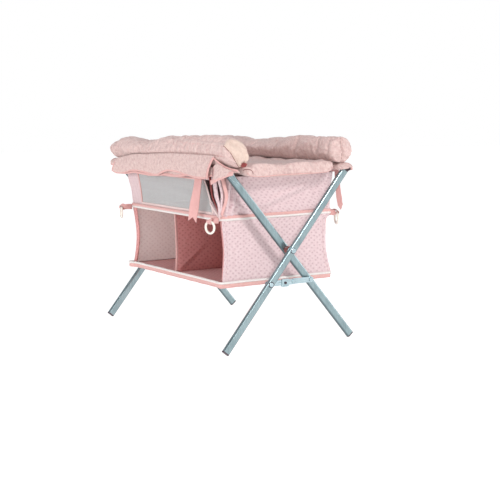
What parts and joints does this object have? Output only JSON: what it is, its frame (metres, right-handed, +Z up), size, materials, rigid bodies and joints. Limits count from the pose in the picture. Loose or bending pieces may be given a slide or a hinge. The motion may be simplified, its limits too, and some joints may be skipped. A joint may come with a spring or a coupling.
{
  "type": "doll changing table",
  "caption": "Doll-size folding changing table: two crossed tube frames carry a fabric tub with an open two-bay storage box and a padded mat with side bolsters.",
  "frame": {"origin": "on the floor under the middle of the table", "axes": "+Z up, X along the length, the open shelf front faces -Y"},
  "size_m": [0.5592, 0.3284, 0.4187],
  "materials": {
    "tube": "satin anodised, faint blue",
    "steel": "bright zinc",
    "dark_plastic": "moulded, matt",
    "spacer_plastic": "moulded, matt",
    "print_fabric": "heathered woven polyester with a fine dot grid",
    "mat_fabric": "soft padded cotton blend",
    "binding": "woven bias tape",
    "ribbon": "grosgrain ribbon",
    "mesh": "open diamond net",
    "piping": "covered piping cord",
    "ring": "polished moulded ring"
  },
  "bodies": {
    "pivots": {"pivot_rivet_right": "steel", "pivot_spacer_right": "spacer_plastic", "pivot_rivet_left": "steel", "pivot_spacer_left": "spacer_plastic"},
    "outer_frame": {"outer_leg_right": "tube", "outer_leg_left": "tube", "outer_foot_plug_right": "dark_plastic", "outer_foot_plug_left": "dark_plastic", "rear_rail": "tube", "rear_elbow_right": "dark_plastic", "rear_elbow_left": "dark_plastic", "rear_rail_sleeve": "print_fabric", "brace_rivet_outer_right": "steel", "brace_rivet_outer_left": "steel", "brace_bush_outer_right": "steel", "brace_bush_outer_left": "steel"},
    "inner_frame": {"inner_leg_right": "tube", "inner_leg_left": "tube", "inner_foot_plug_right": "dark_plastic", "inner_foot_plug_left": "dark_plastic", "front_rail": "tube", "front_elbow_right": "dark_plastic", "front_elbow_left": "dark_plastic", "front_rail_sleeve": "print_fabric"},
    "fabric_box": {"storage_floor": "print_fabric", "floor_binding": "binding", "floor_piping": "piping", "storage_wall_right": "print_fabric", "storage_wall_left": "print_fabric", "storage_wall_back": "print_fabric", "storage_divider": "print_fabric", "rim_piping": "piping", "rim_binding": "binding", "tub_floor": "print_fabric", "tub_shell": "print_fabric", "tub_mesh_panel": "mesh", "ring_loops": "ribbon"},
    "mat": {"mat_bolster_front": "mat_fabric", "mat_bolster_rear": "mat_fabric", "mat_pad": "mat_fabric", "mat_skirt_front": "mat_fabric", "mat_skirt_rear": "mat_fabric", "mat_end_flap": "mat_fabric", "tie_ribbon_front": "ribbon", "tie_ribbon_rear": "ribbon"},
    "brace_outer_right": {"brace_link_outer_right": "steel", "toggle_rivet_right": "steel"},
    "brace_inner_right": {"brace_link_inner_right": "steel", "brace_rivet_inner_right": "steel"},
    "lock_right": {"lock_collar_right": "steel"},
    "brace_outer_left": {"brace_link_outer_left": "steel", "toggle_rivet_left": "steel"},
    "brace_inner_left": {"brace_link_inner_left": "steel", "brace_rivet_inner_left": "steel"},
    "lock_left": {"lock_collar_left": "steel"},
    "ring_front_right_body": {"ring_front_right": "ring"},
    "ring_front_left_body": {"ring_front_left": "ring"},
    "ring_rear_right_body": {"ring_rear_right": "ring"},
    "ring_rear_left_body": {"ring_rear_left": "ring"}
  },
  "joints": [
    {"name": "fold", "type": "hinge", "parent": "pivots", "child": "outer_frame", "pos_m": [0, 0, 0.1964], "axis": [1, 0, 0], "range_deg": [0, 30], "deforming": ["mat_pad", "mat_bolster_front", "mat_bolster_rear"]},
    {"name": "fold_inner", "type": "hinge", "parent": "pivots", "child": "inner_frame", "pos_m": [0, 0, 0.1964], "axis": [1, 0, 0], "range_deg": [-30, 0]},
    {"name": "fabric_rise", "type": "slide", "parent": "pivots", "child": "fabric_box", "axis": [0, 0, 1], "range_m": [0, 0.04494]},
    {"name": "mat_lift", "type": "slide", "parent": "fabric_box", "child": "mat", "axis": [0, 0, 1], "range_m": [0, 0.08]},
    {"name": "brace_outer_right_turn", "type": "hinge", "parent": "outer_frame", "child": "brace_outer_right", "pos_m": [0.257, -0.05285, 0.1324], "axis": [1, 0, 0], "range_deg": [0, 13.05]},
    {"name": "brace_inner_right_turn", "type": "hinge", "parent": "brace_outer_right", "child": "brace_inner_right", "pos_m": [0.254, 0.008, 0.1324], "axis": [1, 0, 0], "range_deg": [-155.21, 0]},
    {"name": "lock_right_slide", "type": "slide", "parent": "brace_outer_right", "child": "lock_right", "axis": [0, -1, 0], "range_m": [0, 0.016]},
    {"name": "brace_outer_left_turn", "type": "hinge", "parent": "outer_frame", "child": "brace_outer_left", "pos_m": [-0.257, -0.05285, 0.1324], "axis": [1, 0, 0], "range_deg": [0, 13.05]},
    {"name": "brace_inner_left_turn", "type": "hinge", "parent": "brace_outer_left", "child": "brace_inner_left", "pos_m": [-0.254, 0.008, 0.1324], "axis": [1, 0, 0], "range_deg": [-155.21, 0]},
    {"name": "lock_left_slide", "type": "slide", "parent": "brace_outer_left", "child": "lock_left", "axis": [0, -1, 0], "range_m": [0, 0.016]},
    {"name": "ring_front_right_swing", "type": "hinge", "parent": "fabric_box", "child": "ring_front_right_body", "pos_m": [0.204, -0.152, 0.2595], "axis": [0.9511, 0.309, 0], "range_deg": [-50, 50]},
    {"name": "ring_front_left_swing", "type": "hinge", "parent": "fabric_box", "child": "ring_front_left_body", "pos_m": [-0.204, -0.152, 0.2595], "axis": [0.9511, -0.309, 0], "range_deg": [-50, 50]},
    {"name": "ring_rear_right_swing", "type": "hinge", "parent": "fabric_box", "child": "ring_rear_right_body", "pos_m": [0.204, 0.152, 0.2595], "axis": [0.9511, -0.309, 0], "range_deg": [-50, 50]},
    {"name": "ring_rear_left_swing", "type": "hinge", "parent": "fabric_box", "child": "ring_rear_left_body", "pos_m": [-0.204, 0.152, 0.2595], "axis": [0.9511, 0.309, 0], "range_deg": [-50, 50]}
  ],
  "couplings": [
    {"joint": "fold_inner", "follows": "fold", "ratio": -1},
    {"joint": "fabric_rise", "follows": "fold", "m_per_rad": 0.085833},
    {"joint": "brace_outer_right_turn", "follows": "fold", "ratio": 0.43493},
    {"joint": "brace_inner_right_turn", "follows": "fold", "ratio": -5.1737},
    {"joint": "brace_outer_left_turn", "follows": "fold", "ratio": 0.43493},
    {"joint": "brace_inner_left_turn", "follows": "fold", "ratio": -5.1737}
  ]
}
